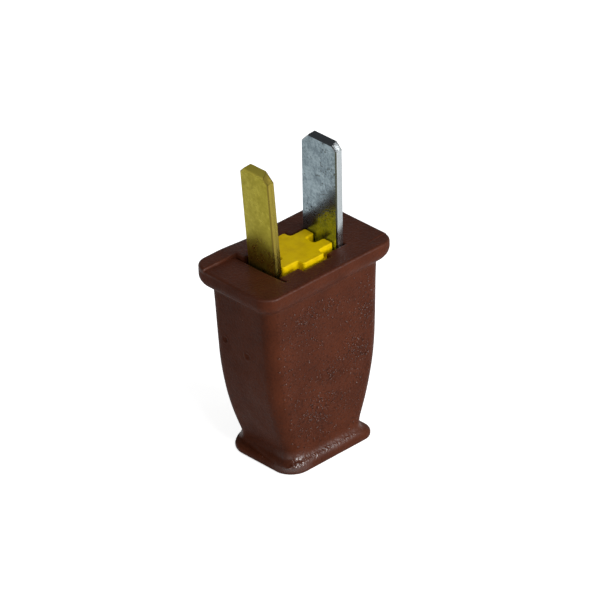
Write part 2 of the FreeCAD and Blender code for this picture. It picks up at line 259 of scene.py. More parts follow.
@dataclass(frozen=True)
class VinylFinish:
    """Soft brown vinyl: leathery where the mould was textured, glossy where it was polished, with painted
    shade in the leather's valleys.
    """

    name: str = "brown_vinyl"
    deep: Colour = tone(68, 32, 18)
    pale: Colour = tone(78, 38, 22)
    # Painted shade: the dark tone laid into the low parts of the leather grain, where shade falls.
    valley_shade: Colour = tone(34, 15, 9)
    dust: Colour = tone(150, 122, 108)
    mottle_size: float = 6.0
    mottle_span: Pair = (0.35, 0.65)
    valley_shade_span: Pair = (0.3, 0.48)
    valley_shade_share: float = 0.85
    dust_size: float = 2.4
    dust_reach: float = 0.03
    matte: float = 0.06
    glossy: float = 0.8
    rough_low: float = 0.13
    rough_high: float = 0.46
    rough_size: float = 2.4
    rough_change: float = 0.07
    peel_size: float = 1.1
    peel_depth: float = 0.035
    grain_size: float = 0.42
    grain_depth: float = 0.3
    crease_size: float = 0.5
    crease_depth: float = 0.24

    def material(self) -> bpy.types.Material:
        """Builds the finish.

        Returns:
            Its material.
        """
        sheet = Sheet(self.name)
        polish, grain, crinkle = (sheet.painted(name) for name in ("polish", "grain", "crinkle"))
        leather = sheet.noise(self.grain_size, FINE)
        mottle = sheet.remap(sheet.noise(self.mottle_size, FINE), self.mottle_span)
        # Painted shade: the leather grain's low parts are darkened toward the valley tone.
        valley_shade = sheet.remap(leather, self.valley_shade_span, FALLING)
        valley_shade = sheet.times(valley_shade, sheet.times(grain, self.valley_shade_share))
        colour = sheet.blend(valley_shade, sheet.blend(mottle, self.deep, self.pale), self.valley_shade)
        uneven = (-self.rough_change, self.rough_change)
        change = sheet.remap(sheet.noise(self.rough_size, SOFT), MIDDLE, uneven)
        rough = sheet.remap(polish, RISING, (self.rough_high, self.rough_low))
        peel = sheet.relief(sheet.noise(self.peel_size, SOFT), self.peel_depth)
        leathery = sheet.relief(sheet.times(leather, grain), self.grain_depth, peel)
        creases = sheet.times(sheet.noise(self.crease_size, PLAIN), crinkle)
        return sheet.dress({
            "Base Color": sheet.blend(sheet.spots(self.dust_size, self.dust_reach), colour, self.dust),
            "Specular IOR Level": sheet.remap(polish, RISING, (self.matte, self.glossy)),
            "Roughness": sheet.maths("ADD", rough, change),
            "Normal": sheet.relief(creases, self.crease_depth, leathery),
        })


@dataclass(frozen=True)
class CoreFinish:
    """Hard yellow plastic, lightly polished, with faint flow marks."""

    name: str = "yellow_plastic"
    body: Colour = tone(219, 187, 1)
    flow: Colour = tone(205, 171, 1)
    flow_size: float = 1.6
    flow_span: Pair = (0.4, 0.65)
    specular: float = 0.08
    rough_low: float = 0.36
    rough_high: float = 0.5
    rough_size: float = 0.8
    scuff_size: float = 0.3
    scuff_depth: float = 0.02

    def material(self) -> bpy.types.Material:
        """Builds the finish.

        Returns:
            Its material.
        """
        sheet = Sheet(self.name)
        flow = sheet.remap(sheet.noise(self.flow_size, FINE), self.flow_span)
        gloss = (self.rough_low, self.rough_high)
        return sheet.dress({
            "Base Color": sheet.blend(flow, self.body, self.flow),
            "Specular IOR Level": self.specular,
            "Roughness": sheet.remap(sheet.noise(self.rough_size, SOFT), MIDDLE, gloss),
            "Normal": sheet.relief(sheet.noise(self.scuff_size, SOFT), self.scuff_depth),
        })


@dataclass(frozen=True)
class MetalFinish:
    """Stamped sheet metal: soft mottling, faint rolled streaks, and pits in clusters, with painted light
    and shade on the narrow sides, chamfers and tip slopes.
    """

    name: str
    face: Colour
    stain: Colour
    # Painted light: the narrow sides and tip corners get a tone set to how they look lit, not the metal's
    # own colour.
    edge: Colour
    # Painted dark reflection: the chamfers get a darker tone.
    painted_chamfer: Colour
    # Painted light and shade: the tip slopes get a tone set to how they look lit.
    painted_tip: Colour
    pit: Colour
    rough_low: float
    rough_high: float
    rough_tip: float
    pit_size: float
    pit_reach: float
    pit_depth: float
    mottle_size: float
    stain_size: float = 1.8
    stain_span: Pair = (0.9, 1.35)
    crowd_size: float = 2.2
    crowd_span: Pair = (0.48, 0.6)
    streak_size: float = 0.25
    streak_stretch: Point = (1.0, 1.0, 0.06)
    streak_share: float = 0.25
    streak_depth: float = 0.0015
    edge_share: float = 0.85

    def material(self) -> bpy.types.Material:
        """Builds the finish.

        Returns:
            Its material.
        """
        sheet = Sheet(self.name)
        broad, edge, painted_chamfer, painted_tip = (sheet.painted(part.value) for part in BladePart)
        along = sheet.add("ShaderNodeMapping", {"Vector": sheet.place, "Scale": self.streak_stretch})
        streaks = sheet.noise(self.streak_size, SOFT, along)
        clouds = sheet.maths("ADD", sheet.noise(self.stain_size, FINE), sheet.noise(self.mottle_size, FINE))
        clouds = sheet.maths("ADD", clouds, sheet.times(streaks, self.streak_share))
        dull = sheet.remap(clouds, self.stain_span)
        crowd = sheet.remap(sheet.noise(self.crowd_size, SOFT), self.crowd_span)
        pits = sheet.times(sheet.times(sheet.spots(self.pit_size, self.pit_reach), crowd), broad)
        colour = sheet.blend(dull, self.face, self.stain)
        # Painted light: the narrow sides and tip corners take their lit-look tone.
        colour = sheet.blend(sheet.times(edge, self.edge_share), colour, self.edge)
        # Painted dark reflection: the chamfers take the darker chamfer tone.
        colour = sheet.blend(painted_chamfer, colour, self.painted_chamfer)
        # Painted light and shade: the tip slopes take their lit-look tone.
        colour = sheet.blend(painted_tip, colour, self.painted_tip)
        rough = sheet.remap(dull, RISING, (self.rough_low, self.rough_high))
        rolled = sheet.relief(streaks, self.streak_depth)
        return sheet.dress({
            "Base Color": sheet.blend(pits, colour, self.pit),
            "Metallic": 1.0,
            "Roughness": sheet.maths("MAXIMUM", rough, sheet.times(painted_tip, self.rough_tip)),
            "Normal": sheet.relief(sheet.remap(pits, RISING, FALLING), self.pit_depth, rolled),
        })


BRASS = MetalFinish(
    name="rolled_brass",
    face=tone(188, 176, 67),
    stain=tone(167, 155, 51),
    # Painted shade: darker narrow sides and tip corners.
    edge=tone(148, 131, 58),
    # Painted dark reflection: darker chamfers.
    painted_chamfer=tone(132, 116, 48),
    # Painted highlight: lighter tip slopes, which are also rougher.
    painted_tip=tone(222, 208, 92),
    pit=tone(166, 152, 54),
    rough_low=0.26,
    rough_high=0.38,
    rough_tip=0.65,
    pit_size=0.5,
    pit_reach=0.02,
    pit_depth=0.0,
    mottle_size=0.6,
)
NICKEL = MetalFinish(
    name="plated_nickel",
    face=tone(176, 194, 201),
    stain=tone(132, 149, 157),
    # Painted highlight: lighter narrow sides and tip corners.
    edge=tone(200, 206, 208),
    # Painted dark reflection: darker chamfers.
    painted_chamfer=tone(84, 86, 72),
    # Painted shade: darker tip slopes.
    painted_tip=tone(150, 158, 164),
    pit=tone(60, 58, 50),
    rough_low=0.17,
    rough_high=0.27,
    rough_tip=0.2,
    pit_size=0.55,
    pit_reach=0.42,
    pit_depth=0.02,
    mottle_size=0.4,
)


class Tree(Graph):
    """One geometry node tree that takes and gives one geometry, with named inputs."""

    def __init__(self, name: str) -> None:
        """Starts a tree with its way in and its way out.

        Args:
            name: What the tree is called.
        """
        super().__init__(bpy.data.node_groups.new(name, "GeometryNodeTree"))
        for way in ("INPUT", "OUTPUT"):
            self.tree.interface.new_socket("Geometry", in_out=way, socket_type="NodeSocketGeometry")
        self.start = self.tree.nodes.new("NodeGroupInput")
        self.end = self.tree.nodes.new("NodeGroupOutput")

    def size(self, name: str, kind: str = "NodeSocketFloat") -> Socket:
        """Adds a named input, and gives the socket that has its value inside the tree."""
        self.tree.interface.new_socket(name, in_out="INPUT", socket_type=kind)
        return self.start.outputs[name]

    def painted(self, name: str) -> Socket:
        """A share that the mesh itself carries."""
        return self.add("GeometryNodeInputNamedAttribute", {"Name": name}, data_type="FLOAT")

    def scaled(self, vector: Socket, scale: Socket) -> Socket:
        """A vector times a number."""
        return self.add("ShaderNodeVectorMath", {0: vector, "Scale": scale}, operation="SCALE")

    def close(self, geometry: Socket) -> None:
        """Ends the tree in real geometry with its material.

        Args:
            geometry: What the tree has made.
        """
        real = self.add("GeometryNodeRealizeInstances", {"Geometry": geometry})
        sockets = {"Geometry": real, "Material": self.size("Material", "NodeSocketMaterial")}
        self.feed(self.end.inputs[0], self.add("GeometryNodeSetMaterial", sockets))

    def apply(self, piece: bpy.types.Object, values: dict[str, object]) -> None:
        """Runs the tree on a piece and keeps the result as the piece's plain mesh.

        Args:
            piece: The piece that the tree starts from.
            values: A value for each named input.
        """
        modifier = piece.modifiers.new(self.tree.name, "NODES")
        modifier.node_group = self.tree
        for socket in self.tree.interface.items_tree:
            if socket.name in values:
                modifier[socket.identifier] = values[socket.name]
        graph = bpy.context.evaluated_depsgraph_get()
        made = bpy.data.meshes.new_from_object(
            piece.evaluated_get(graph), preserve_all_data_layers=True, depsgraph=graph
        )
        piece.modifiers.clear()
        piece.data = made


def new_piece(name: str, data: bpy.types.ID) -> bpy.types.Object:
    """Puts a mesh, lamp or camera into the scene, at the origin.

    Args:
        name: What the object is called.
        data: What it holds.

    Returns:
        The object.
    """
    piece = bpy.data.objects.new(name, data)
    bpy.context.scene.collection.objects.link(piece)
    return piece


def shade(mesh: bpy.types.Mesh, sharp_degrees: float) -> None:
    """Shades a mesh smooth, apart from edges that turn more sharply than an angle."""
    mesh.shade_smooth()
    mesh.set_sharp_from_angle(angle=math.radians(sharp_degrees))


def settle(piece: bpy.types.Object, body: Body) -> None:
    """Makes a piece ride on its body and reports it.

    Args:
        piece: The finished piece.
        body: The body that it rides on.
    """
    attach(piece, body.value)
    LOG.info("%s: %d faces on %s", piece.name, len(piece.data.polygons), body.value)


def vectors(source: bpy.types.bpy_prop_collection, name: str) -> np.ndarray:
    """Reads one vector from each item of a mesh's list.

    Args:
        source: The list.
        name: The vector's name.

    Returns:
        One row for each item.
    """
    values = np.zeros(len(source) * 3, np.float32)
    source.foreach_get(name, values)
    return values.reshape(-1, 3)


def add_rows(mesh: bmesh.types.BMesh, row: list[Vertex], rows: list[list[Point]]) -> list[Edge]:
    """Adds closed rows of points, each joined to the one before it by faces.

    Args:
        mesh: The mesh to add to.
        row: The points to start from, in order.
        rows: The places of each row to add.

    Returns:
        The edges of the last row.
    """
    for places in rows:
        below = [mesh.verts.new(place) for place in places]
        for corners in zip(row, below, below[1:] + below[:1], row[1:] + row[:1]):
            mesh.faces.new(corners)
        row = below
    return [mesh.edges.get(ends) for ends in zip(row, row[1:] + row[:1])]


@dataclass(frozen=True)
class Ring:
    """One outline with rounded corners, at a height, tighter or fuller at an end where that is set."""

    half_x: float
    half_y: float
    corner: float
    z: float
    follow: float = 0.0
    tighter: float = 0.0
    near_fill: float = 0.0
    far_fill: float = 0.0


@dataclass(frozen=True)
class Patch:
    """A round patch of the front where the mould's texture is coarse."""

    x: float
    z: float
    reach: float
    crowd: float

    def share(self, x: np.ndarray, z: np.ndarray) -> np.ndarray:
        """How coarse the texture is at each place."""
        away = np.hypot(x - self.x, z - self.z) / self.reach
        return self.crowd * np.exp(-away ** 2)


@dataclass(frozen=True)
class PinMark:
    """A small round ejector mark on the narrow end, a shallow bowl in a faint rim."""

    y: float
    z: float
    radius: float = 0.62
    depth: float = 0.2
    bowl: Step = Step(0.35, 1.0)
    rim: float = 0.04
    rim_at: float = 1.2
    rim_width: float = 0.2
    clear: float = 1.6

    def lines(self, middle: float, gap: float) -> np.ndarray:
        """Close lines across the mark, along one of its axes."""
        reach = self.clear * self.radius
        return spread([middle - reach, middle + reach], gap)

    def sunk(self, y: np.ndarray, z: np.ndarray) -> np.ndarray:
        """How deep the surface lies at each place, below nothing on the rim.

        Args:
            y: Places across the narrow end.
            z: Their heights.

        Returns:
            The depth at each place.
        """
        away = np.hypot(y - self.y, z - self.z) / self.radius
        raised = self.rim * np.exp(-((away - self.rim_at) / self.rim_width) ** 2)
        return self.depth * (1 - self.bowl.at(away)) - raised


PATCHES = (
    Patch(x=8.2, z=23.9, reach=2.2, crowd=1.0),
    Patch(x=1.2, z=28.3, reach=2.4, crowd=0.7),
    Patch(x=-4.7, z=27.4, reach=3.0, crowd=0.8),
    Patch(x=-8.4, z=17.2, reach=2.2, crowd=0.5),
    Patch(x=6.1, z=17.9, reach=2.6, crowd=1.0),
    Patch(x=-3.0, z=8.9, reach=3.6, crowd=1.0),
    Patch(x=0.4, z=15.9, reach=2.0, crowd=0.5),
)
PIN_MARKS = (PinMark(y=3.9, z=22.75), PinMark(y=-1.1, z=21.65))


@dataclass(frozen=True)
class Texture:
    """Where the mould's texture and polish lie, as steps over directions and places, and as shares."""

    pocket_clear: float = 0.3
    front_on: Step = Step(0.85, 0.98)
    below_flange: Step = Step(1.0, 3.0)
    above_bead: Step = Step(2.0, 4.5)
    off_floor: Step = Step(0.3, 1.1)
    side_on: Step = Step(0.15, 0.6)
    wrap_across: Step = Step(2.0, 5.5)
    wrap_along: Step = Step(6.0, 8.5)
    wrap_share: float = 0.4
    near: Step = Step(4.0, 8.0)
    grain: float = 0.25
    grain_front: float = 0.35
    grain_coarse: float = 0.4
    pimples: float = 0.15
    pimples_coarse: float = 0.85
    crinkle: float = 0.45
    crinkle_near: float = 0.55
    gloss_height: float = 2.2
    gloss_reach: float = 0.55
    gloss_fade: Step = Step(0.0, 7.0)
    gloss_faded: float = 0.6
    gloss_share: float = 0.75
    top_share: float = 0.3
    top_full: float = 0.3


@dataclass(frozen=True)
class Sweep:
    """A wall that sweeps out to a lip: hollow where it leaves its root, then round."""

    root: float
    lip: float
    reach: float
    hollow: float
    turn: float

    def out(self, z: float) -> float:
        """How far out the wall stands at a height.

        Args:
            z: The height.

        Returns:
            The distance from the wall's root.
        """
        share = min(max((z - self.root) / (self.lip - self.root), 0.0), 1.0)
        sine, fall = math.sin(math.radians(self.turn)), 1 - math.cos(math.radians(self.turn))
        if share < self.hollow:
            bend = 1 - math.sqrt(1 - (share / self.hollow * sine) ** 2)
            return self.reach * self.hollow * bend / fall
        bend = 1 - math.sqrt(1 - ((1 - share) / (1 - self.hollow) * sine) ** 2)
        return self.reach * (1 - (1 - self.hollow) * bend / fall)

    def heights(self, count: int) -> list[float]:
        """Heights from the root to the lip, evenly turned along the wall.

        Args:
            count: How many heights each of the two curves gets.

        Returns:
            The heights, from the root on.
        """
        turn = math.radians(self.turn)
        sines = [math.sin(turn * step / count) / math.sin(turn) for step in range(count + 1)]
        shares = [self.hollow * sine for sine in sines]
        shares += [1 - (1 - self.hollow) * sine for sine in reversed(sines[:-1])]
        return [self.root + (self.lip - self.root) * share for share in shares]


@dataclass
class Shell:
    """The moulded shell: flange, tapering body, foot bead, core pocket and cord hole."""

    length: float
    width: float
    height: float
    flange_depth: float = 3.2
    flange_corner: float = 2.7
    face_round: float = 0.4
    under_round: float = 1.95
    under_drop: float = 1.1
    under_hollow: float = 0.34
    under_turn: float = 66.0
    body_length: float = 24.8
    body_width: float = 14.4
    body_corner: float = 2.4
    draft: float = 0.05
    bend_height: float = 19.9
    neck_end_inset: float = 4.65
    neck_side_inset: float = 0.8
    neck_height: float = 2.3
    bead_corner: float = 3.6
    bead_tighter: float = 1.4
    foot_round: float = 0.55
    end_bead: Sweep = Sweep(root=1.7, lip=0.8, reach=1.72, hollow=0.28, turn=80.0)
    side_bead: Sweep = Sweep(root=4.3, lip=0.9, reach=1.2, hollow=0.6, turn=55.0)
    near_bead: Sweep = Sweep(root=4.0, lip=0.8, reach=1.72, hollow=0.6, turn=58.0)
    far_bead: Sweep = Sweep(root=2.7, lip=0.8, reach=1.72, hollow=0.5, turn=60.0)
    fill_along: Step = Step(0.35, 0.9)
    fill_fade: Step = Step(-5.0, 7.2)
    hole_length: float = 8.0
    hole_width: float = 5.4
    hole_corner: float = 1.5
    hole_flare: float = 0.9
    pocket_floor: float = 12.0
    pocket_arm: Pair = (7.26, 4.2)
    pocket_main: Pair = (3.1, 5.3)
    pocket_shares: tuple[float, ...] = (0.02, 0.1, 0.4, 0.7, 1.0)
    lip: float = 0.16
    lip_shares: tuple[float, ...] = (0.0, 0.12, 0.4, 1.0)
    wall: float = 0.03
    tab_half: float = 5.85
    tab_sink: float = 0.65
    tab_end_sink: float = 0.2
    tab_end: float = 15.2
    slit_width: float = 0.2
    slit_inner: float = 7.11
    slit_depth: float = 1.6
    step_line: float = 6.5
    step_start: float = 9.4
    step_sink: float = 0.12
    corner_lift: float = 0.48
    lift_along: Step = Step(1.0, 9.0)
    lift_across: Step = Step(-4.0, 8.0)
    gap: float = 0.36
    fine_gap: float = 0.13
    edge_steps: int = 5
    side_steps: int = 5
    under_steps: int = 9
    bead_steps: int = 10
    foot_steps: int = 7
    sole_steps: int = 4
    hole_steps: int = 5
    crease: float = 32.0
    texture: Texture = Texture()
    place_seed: int = 7
    size_seed: int = 3
    ball_segments: int = 8
    ball_rings: int = 5
    ball_sizes: Pair = (0.6, 1.2)

    @property
    def body_top(self) -> float:
        """The height of the flange's underside."""
        return self.height - self.flange_depth

    @property
    def face_half(self) -> Pair:
        """Half the flat face's length and width, inside its rounded edge."""
        return self.length / 2 - self.face_round, self.width / 2 - self.face_round

    @property
    def face_corner(self) -> float:
        """The flat face's corner radius."""
        return self.flange_corner - self.face_round

    @property
    def slit_outer(self) -> float:
        """How far out the slit's outer wall stands."""
        return self.pocket_arm[0] + self.slit_width

    def lines(self) -> tuple[np.ndarray, np.ndarray]:
        """The face's grid lines, with one on every edge of a cut and on its rounded lip.

        Returns:
            The lines across X and the lines across Y.
        """
        half_x, half_y = self.face_half
        x_stops = [-half_x, half_x, self.face_corner - half_x, half_x - self.face_corner, self.step_start]
        x_stops += [-self.slit_outer + self.wall, -self.slit_inner - self.wall]
        y_stops = [-half_y, half_y, self.face_corner - half_y, half_y - self.face_corner]
        y_stops += [self.tab_half - self.wall, self.wall - self.tab_half, -self.step_line - self.wall]
        for out in (self.lip * share for share in self.lip_shares):
            for side in (1, -1):
                x_stops += [side * (edge + out) for edge in (self.pocket_arm[0], self.pocket_main[0])]
                edges = (self.pocket_arm[1], self.pocket_main[1], self.tab_half)
                y_stops += [side * (edge + out) for edge in edges]
            x_stops += [-self.slit_outer - out, -self.slit_inner + out]
            y_stops.append(-self.step_line + out)
        for mark in PIN_MARKS:
            y_stops.extend(mark.lines(mark.y, self.fine_gap))
        return spread(x_stops, self.gap), spread(y_stops, self.gap)

    def lip_drop(self, distance: np.ndarray) -> np.ndarray:
        """How far a rounded lip falls at a distance from the edge of its cut."""
        inside = np.clip(self.lip - distance, 0.0, self.lip)
        return self.lip - np.sqrt(self.lip ** 2 - inside ** 2)

    def face_drop(self, x: np.ndarray, y: np.ndarray) -> np.ndarray:
        """How far the face lies below its highest level.

        Args:
            x: Places along the face, before its corners are rounded.
            y: Places across it.

        Returns:
            The drop at each place.
        """
        edge = self.wall / 2
        along = np.clip((-self.slit_outer - x) / (self.tab_end - self.slit_outer), 0.0, 1.0)
        tab_sink = self.tab_sink + (self.tab_end_sink - self.tab_sink) * along
        tab_sink = tab_sink * np.clip((y + self.tab_half) / (2 * self.tab_half), 0.0, 1.0)
        past_slit, within = x < -self.slit_outer + edge, np.abs(y) < self.tab_half - edge
        in_slit = (x > -self.slit_outer + edge) & (x < -self.slit_inner - edge) & within
        slope = np.clip((x - self.step_start) / (self.length / 2 - self.step_start), 0.0, 1.0)
        in_step = y < -self.step_line - edge
        drop = np.where(past_slit & within, tab_sink, 0.0) + np.where(in_step, self.step_sink * slope, 0.0)
        middle = (self.slit_outer + self.slit_inner) / 2
        slit = ((self.slit_outer - self.slit_inner) / 2, self.tab_half)
        lips = np.zeros_like(drop)
        for centre, half in ((0.0, self.pocket_arm), (0.0, self.pocket_main), (-middle, slit)):
            away = np.hypot(np.maximum(np.abs(x - centre) - half[0], 0), np.maximum(np.abs(y) - half[1], 0))
            lips = np.maximum(lips, self.lip_drop(away))
        beside = past_slit & (y > self.tab_half - edge)
        lips = np.maximum(lips, np.where(beside, self.lip_drop(np.maximum(y - self.tab_half, 0)), 0.0))
        fall = self.lip_drop(np.maximum(y + self.step_line, 0)) * slope
        lips = np.maximum(lips, np.where(~in_step & (y < 0), fall, 0.0))
        raised = self.corner_lift * self.lift_along.at(-x) * self.lift_across.at(y)
        return np.where(in_slit, self.slit_depth, drop + lips - raised)

    def placed(self, p: np.ndarray, q: np.ndarray, ring: Ring) -> tuple[np.ndarray, np.ndarray]:
        """Carries points of the square-cornered face over to a ring with rounded corners.

        Args:
            p: Places along the square face.
            q: Places across it.
            ring: The outline to fit.

        Returns:
            The X and Y of each point.
        """
        half_x, half_y = self.face_half
        straight_x, straight_y = half_x - self.face_corner, half_y - self.face_corner
        over_x = np.clip((np.abs(p) - straight_x) / self.face_corner, 0.0, 1.0)
        over_y = np.clip((np.abs(q) - straight_y) / self.face_corner, 0.0, 1.0)
        corner = np.where(p > 0, ring.corner - ring.tighter, ring.corner)
        flat_x = np.clip(np.abs(p) / straight_x, 0.0, 1.0) * (ring.half_x - corner)
        flat_y = np.clip(np.abs(q) / straight_y, 0.0, 1.0) * (ring.half_y - corner)
        x = np.sign(p) * (flat_x + corner * over_x * np.sqrt(1 - over_y ** 2 / 2))
        y = np.sign(q) * (flat_y + corner * over_y * np.sqrt(1 - over_x ** 2 / 2))
        return x, y

    def body_half(self, top_half: float, inset: float, z: float) -> float:
        """Half the body's size at a height: a drafted side that bends in along an arc to the neck.

        Args:
            top_half: Half its size under the flange.
            inset: How far in the neck lies.
            z: The height.

        Returns:
            Half its size there.
        """
        draft = self.draft * (inset / self.neck_end_inset)
        bend_half = top_half - draft * (self.body_top - self.bend_height)
        if z >= self.bend_height:
            return bend_half + draft * (z - self.bend_height)
        slant = math.hypot(1.0, draft)
        inward = (-1.0 / slant, draft / slant)
        across = top_half - inset - bend_half
        down = self.neck_height - self.bend_height
        radius = (across ** 2 + down ** 2) / (2 * (across * inward[0] + down * inward[1]))
        centre = bend_half + radius * inward[0], self.bend_height + radius * inward[1]
        return centre[0] + math.sqrt(radius ** 2 - (z - centre[1]) ** 2)

    def body_ring(self, z: float) -> Ring:
        """The body's outline at a height."""
        sides = ((self.body_length, self.neck_end_inset), (self.body_width, self.neck_side_inset))
        return Ring(*(self.body_half(size / 2, inset, z) for size, inset in sides), self.body_corner, z)

    def flange_rings(self) -> list[Ring]:
        """The outlines from the face's rounded edge down the flange and in under it.

        Returns:
            The outlines, from the top down.
        """
        half_x, half_y = self.length / 2, self.width / 2
        rings = []
        for inset, fall in quarter(self.face_round, self.edge_steps):
            corner = self.flange_corner - inset
            rings.append(Ring(half_x - inset, half_y - inset, corner, self.height - fall, 1.0))
        side_top, side_low = self.height - self.face_round, self.body_top + self.under_round
        for share in np.linspace(*RISING, self.side_steps + 1)[1:]:
            z = side_top + (side_low - side_top) * share
            follow = 1 - float(Step(*RISING).at(share))
            rings.append(Ring(half_x, half_y, self.flange_corner, z, follow))
        root, lip = self.body_top - self.under_drop, self.body_top + self.under_round
        end = Sweep(root, lip, half_x - self.body_length / 2, self.under_hollow, self.under_turn)
        side = replace(end, reach=half_y - self.body_width / 2)
        for z in end.heights(self.under_steps)[-2::-1]:
            wall = self.body_ring(min(z, self.body_top))
            corner = wall.corner + (self.flange_corner - wall.corner) * end.out(z) / end.reach
            rings.append(Ring(wall.half_x + end.out(z), wall.half_y + side.out(z), corner, z))
        return rings

    def body_rings(self) -> list[Ring]:
        """The outlines down the body, closer together at the ejector marks.

        Returns:
            The outlines, from the top down.
        """
        stops = [self.body_top - self.under_drop, self.side_bead.root]
        for mark in PIN_MARKS:
            stops.extend(mark.lines(mark.z, self.fine_gap))
        heights = spread(stops, self.gap)[::-1]
        return [self.body_ring(float(z)) for z in heights[1:]]

    def bead_rings(self) -> list[Ring]:
        """The outlines from the wall out round the bead and under the foot.

        Returns:
            The outlines, from the top down.
        """
        end, side = self.end_bead, self.side_bead
        upper = [z for z in side.heights(self.bead_steps)[1:] if z > end.root]
        stops = [(z, end.out(z), side.out(z)) for z in upper + end.heights(self.bead_steps)]
        for z, inset in quarter(self.foot_round, self.foot_steps):
            stops.append((z, end.reach - inset, side.reach - inset))
        rings = []
        for z, out_x, out_y in stops:
            neck = self.body_ring(max(z, self.neck_height))
            share = out_x / end.reach
            corner = neck.corner + (self.bead_corner - neck.corner) * share
            ring = Ring(neck.half_x + out_x, neck.half_y + out_y, corner, z)
            near, far = (max(0.0, bead.out(z) - end.out(z)) for bead in (self.near_bead, self.far_bead))
            tighter = self.bead_tighter * share
            rings.append(replace(ring, tighter=tighter, near_fill=near, far_fill=far))
        return rings

    def hole_rings(self, foot: Ring) -> list[Ring]:
        """The outlines across the foot, round the hole's mouth and up the hole.

        Args:
            foot: The last outline of the bead, flat on the ground.

        Returns:
            The outlines, up to the pocket's floor.
        """
        hole = np.array((self.hole_length / 2, self.hole_width / 2, self.hole_corner))
        sole = np.array((foot.half_x, foot.half_y, foot.corner))
        across = hole + self.hole_flare - sole
        stops = [(sole + across * share, 0.0) for share in np.linspace(*RISING, self.sole_steps + 1)[1:]]
        stops += [(hole + out, z) for out, z in quarter(self.hole_flare, self.hole_steps)]
        heights = np.linspace(self.hole_flare, self.pocket_floor, self.hole_steps + 1)[1:]
        stops += [(hole, z) for z in heights]
        return [Ring(*sizes, z) for sizes, z in stops]

    def outside(self, *rim: np.ndarray) -> list[list[Point]]:
        """The rows of points from the face's rim down, under the foot and up the hole.

        Args:
            *rim: The rim points' places along and across the square face, and their drops.

        Returns:
            The places of each row, from the top down.
        """
        p, q, drop = rim
        rings = self.flange_rings() + self.body_rings() + self.bead_rings()
        rings += self.hole_rings(rings[-1])
        rows = []
        for ring in rings:
            x, y = self.placed(p, q, ring)
            out, front = x / ring.half_x, 1 - self.fill_fade.at(y)
            far, near = ring.far_fill * self.fill_along.at(out), ring.near_fill * self.fill_along.at(-out)
            rows.append(list(zip(x + far - near * front, y, ring.z - drop * ring.follow)))
        return rows

    def pocket_rim(self, xs: np.ndarray, ys: np.ndarray) -> list[Key]:
        """The face's grid points round the plus-shaped pocket.

        Args:
            xs: The face's lines across X.
            ys: The face's lines across Y.

        Returns:
            The points' places in the grid, in order.
        """
        right = [self.pocket_arm, (self.pocket_main[0], self.pocket_arm[1]), self.pocket_main]
        upper = right + [(-x, y) for x, y in reversed(right)]
        corners = []
        for x, y in upper + [(-x, -y) for x, y in upper]:
            corners.append((int(np.abs(xs - x).argmin()), int(np.abs(ys - y).argmin())))
        rim = []
        for (i, j), (next_i, next_j) in zip(corners, corners[1:] + corners[:1]):
            steps = abs(next_i - i) + abs(next_j - j)
            rim += [(i + (next_i - i) * s // steps, j + (next_j - j) * s // steps) for s in range(steps)]
        return rim

    def skin(self) -> bpy.types.Mesh:
        """Builds the closed skin from the face, the outer rings and the pocket.

        Returns:
            The mesh, in metres, with the shares that the finish and the grain read.
        """
        xs, ys = self.lines()
        grid_p, grid_q = np.meshgrid(xs, ys, indexing="ij")
        face_x, face_y = self.placed(grid_p, grid_q, Ring(*self.face_half, self.face_corner, self.height))
        drop = self.face_drop(grid_p, grid_q)
        x, y = np.meshgrid((xs[1:] + xs[:-1]) / 2, (ys[1:] + ys[:-1]) / 2, indexing="ij")
        solid = np.ones(x.shape, bool)
        for half_x, half_y in (self.pocket_arm, self.pocket_main):
            solid &= (np.abs(x) >= half_x) | (np.abs(y) >= half_y)
        wide = np.pad(solid, 1)
        used = wide[1:, 1:] | wide[1:, :-1] | wide[:-1, 1:] | wide[:-1, :-1]
        mesh = bmesh.new()
        nodes: dict[Key, Vertex] = {}
        for i, j in zip(*np.nonzero(used)):
            nodes[i, j] = mesh.verts.new((face_x[i, j], face_y[i, j], self.height - drop[i, j]))
        for i, j in zip(*np.nonzero(solid)):
            mesh.faces.new((nodes[i, j], nodes[i + 1, j], nodes[i + 1, j + 1], nodes[i, j + 1]))
        last_i, last_j = len(xs) - 1, len(ys) - 1
        rim = [(i, 0) for i in range(last_i)] + [(last_i, j) for j in range(last_j)]
        rim += [(i, last_j) for i in range(last_i, 0, -1)] + [(0, j) for j in range(last_j, 0, -1)]
        rows = self.outside(*(np.array([grid[key] for key in rim]) for grid in (grid_p, grid_q, drop)))
        edges = add_rows(mesh, [nodes[key] for key in rim], rows)
        walls = [nodes[key] for key in self.pocket_rim(xs, ys)]
        rows = []
        for share in self.pocket_shares:
            rows.append([(x, y, z + (self.pocket_floor - z) * share) for x, y, z in (v.co for v in walls)])
        edges += add_rows(mesh, walls, rows)
        bmesh.ops.triangle_fill(mesh, edges=edges, use_beauty=True)
        bmesh.ops.recalc_face_normals(mesh, faces=mesh.faces)
        made = bpy.data.meshes.new("shell_skin")
        mesh.to_mesh(made)
        mesh.free()
        self.mark(made)
        made.transform(Matrix.Scale(MM, 4))
        return made

